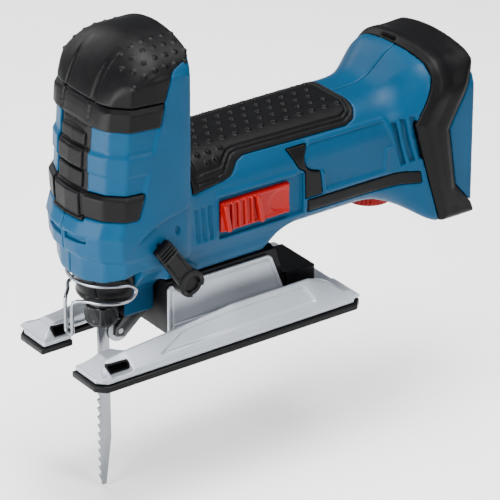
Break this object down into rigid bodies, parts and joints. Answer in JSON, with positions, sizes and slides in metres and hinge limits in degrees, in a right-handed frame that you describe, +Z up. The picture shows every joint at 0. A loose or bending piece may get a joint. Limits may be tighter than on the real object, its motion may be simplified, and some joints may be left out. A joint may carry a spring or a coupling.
{
  "type": "barrel grip cordless jigsaw",
  "caption": "Battery jigsaw with a barrel grip, bevelling footplate with cast rails, guarded reciprocating blade and an empty rear battery slot.",
  "frame": {"origin": "middle of the sole's outline, on its underside", "axes": "+X the cutting direction, +Y the tool's left side, +Z up along the blade"},
  "size_m": [0.241, 0.08, 0.257],
  "materials": {
    "blue_plastic": "satin moulded blue",
    "black_rubber": "matte moulded rubber",
    "black_plastic": "matte",
    "red_plastic": "satin",
    "cast_aluminium": "bead-blasted casting",
    "bright_steel": "ground",
    "dark_steel": "phosphated",
    "bronze": "sintered bronze",
    "copper_winding": "enamelled winding",
    "circuit_board": "solder resist"
  },
  "bodies": {
    "housing": {"housing_left": "blue_plastic", "housing_right": "blue_plastic", "head_cap": "black_rubber", "head_grip": "black_rubber", "barrel_grip": "black_rubber", "rear_bumper": "black_rubber", "side_strip_left": "black_rubber", "side_strip_right": "black_rubber", "housing_screw_1": "dark_steel", "housing_screw_2": "dark_steel", "housing_screw_3": "dark_steel", "housing_screw_4": "dark_steel", "nose_bezel": "black_plastic", "wire_guard": "bright_steel", "bevel_segment": "dark_steel", "gear_case": "cast_aluminium", "plunger_bush_lower": "bronze", "plunger_bush_upper": "bronze", "gear_axle": "bright_steel", "motor_can": "dark_steel", "motor_bearing_front": "bright_steel", "motor_bearing_rear": "bright_steel", "control_board": "circuit_board", "switch_block": "black_plastic", "battery_terminal": "black_plastic", "guide_pin": "bright_steel"},
    "crank": {"crank_gear": "bright_steel"},
    "rotor": {"motor_shaft": "bright_steel", "motor_pinion": "bright_steel", "rotor_core": "copper_winding", "commutator": "copper_winding", "cooling_fan": "black_plastic"},
    "plunger": {"plunger_rod": "bright_steel", "crank_yoke": "bright_steel", "clamp_body": "dark_steel", "saw_blade": "bright_steel"},
    "clamp_ring": {"clamp_sleeve": "dark_steel"},
    "fork": {"guide_fork": "dark_steel", "roller_pin": "bright_steel"},
    "roller": {"guide_roller": "bright_steel"},
    "orbit_lever": {"orbit_lever": "black_plastic"},
    "power_switch": {"power_switch": "red_plastic", "switch_link": "black_plastic"},
    "speed_dial": {"speed_dial": "red_plastic"},
    "footplate": {"sole_plate": "black_plastic", "base_casting": "cast_aluminium", "side_plate_left": "cast_aluminium", "side_plate_right": "cast_aluminium", "bevel_saddle": "black_plastic", "bevel_screw": "dark_steel", "dust_port": "black_plastic"}
  },
  "joints": [
    {"name": "bevel", "type": "hinge", "parent": "housing", "child": "footplate", "pos_m": [0, 0, 0], "axis": [1, 0, 0], "range_deg": [-45, 45]},
    {"name": "blade_stroke", "type": "slide", "parent": "housing", "child": "plunger", "axis": [0, 0, 1], "range_m": [0, 0.023]},
    {"name": "blade_release", "type": "hinge", "parent": "plunger", "child": "clamp_ring", "pos_m": [0.056, 0, 0.025], "axis": [0, 0, 1], "range_deg": [0, 35], "stiffness_Nm_per_rad": 0.08},
    {"name": "crank_turn", "type": "hinge", "parent": "housing", "child": "crank", "pos_m": [0.033, 0, 0.113], "axis": [1, 0, 0], "continuous": true},
    {"name": "motor_turn", "type": "hinge", "parent": "housing", "child": "rotor", "pos_m": [0.033, 0, 0.0842], "axis": [1, 0, 0], "continuous": true},
    {"name": "orbit_swing", "type": "hinge", "parent": "housing", "child": "fork", "pos_m": [0.03, 0, 0.026], "axis": [0, 1, 0], "range_deg": [0, 3], "stiffness_Nm_per_rad": 2},
    {"name": "roller_turn", "type": "hinge", "parent": "fork", "child": "roller", "pos_m": [0.0468, 0, 0.0105], "axis": [0, 1, 0], "continuous": true},
    {"name": "orbit_lever_turn", "type": "hinge", "parent": "housing", "child": "orbit_lever", "pos_m": [0.0235, 0.034, 0.044], "axis": [0, -1, 0], "range_deg": [-23, 46]},
    {"name": "switch_slide", "type": "slide", "parent": "housing", "child": "power_switch", "axis": [-1, 0, 0], "range_m": [0, 0.008]},
    {"name": "dial_turn", "type": "hinge", "parent": "housing", "child": "speed_dial", "pos_m": [-0.116, 0, 0.045], "axis": [0, 0, 1], "range_deg": [-20, 250]}
  ],
  "couplings": [
    {"joint": "motor_turn", "follows": "crank_turn", "ratio": -5}
  ]
}
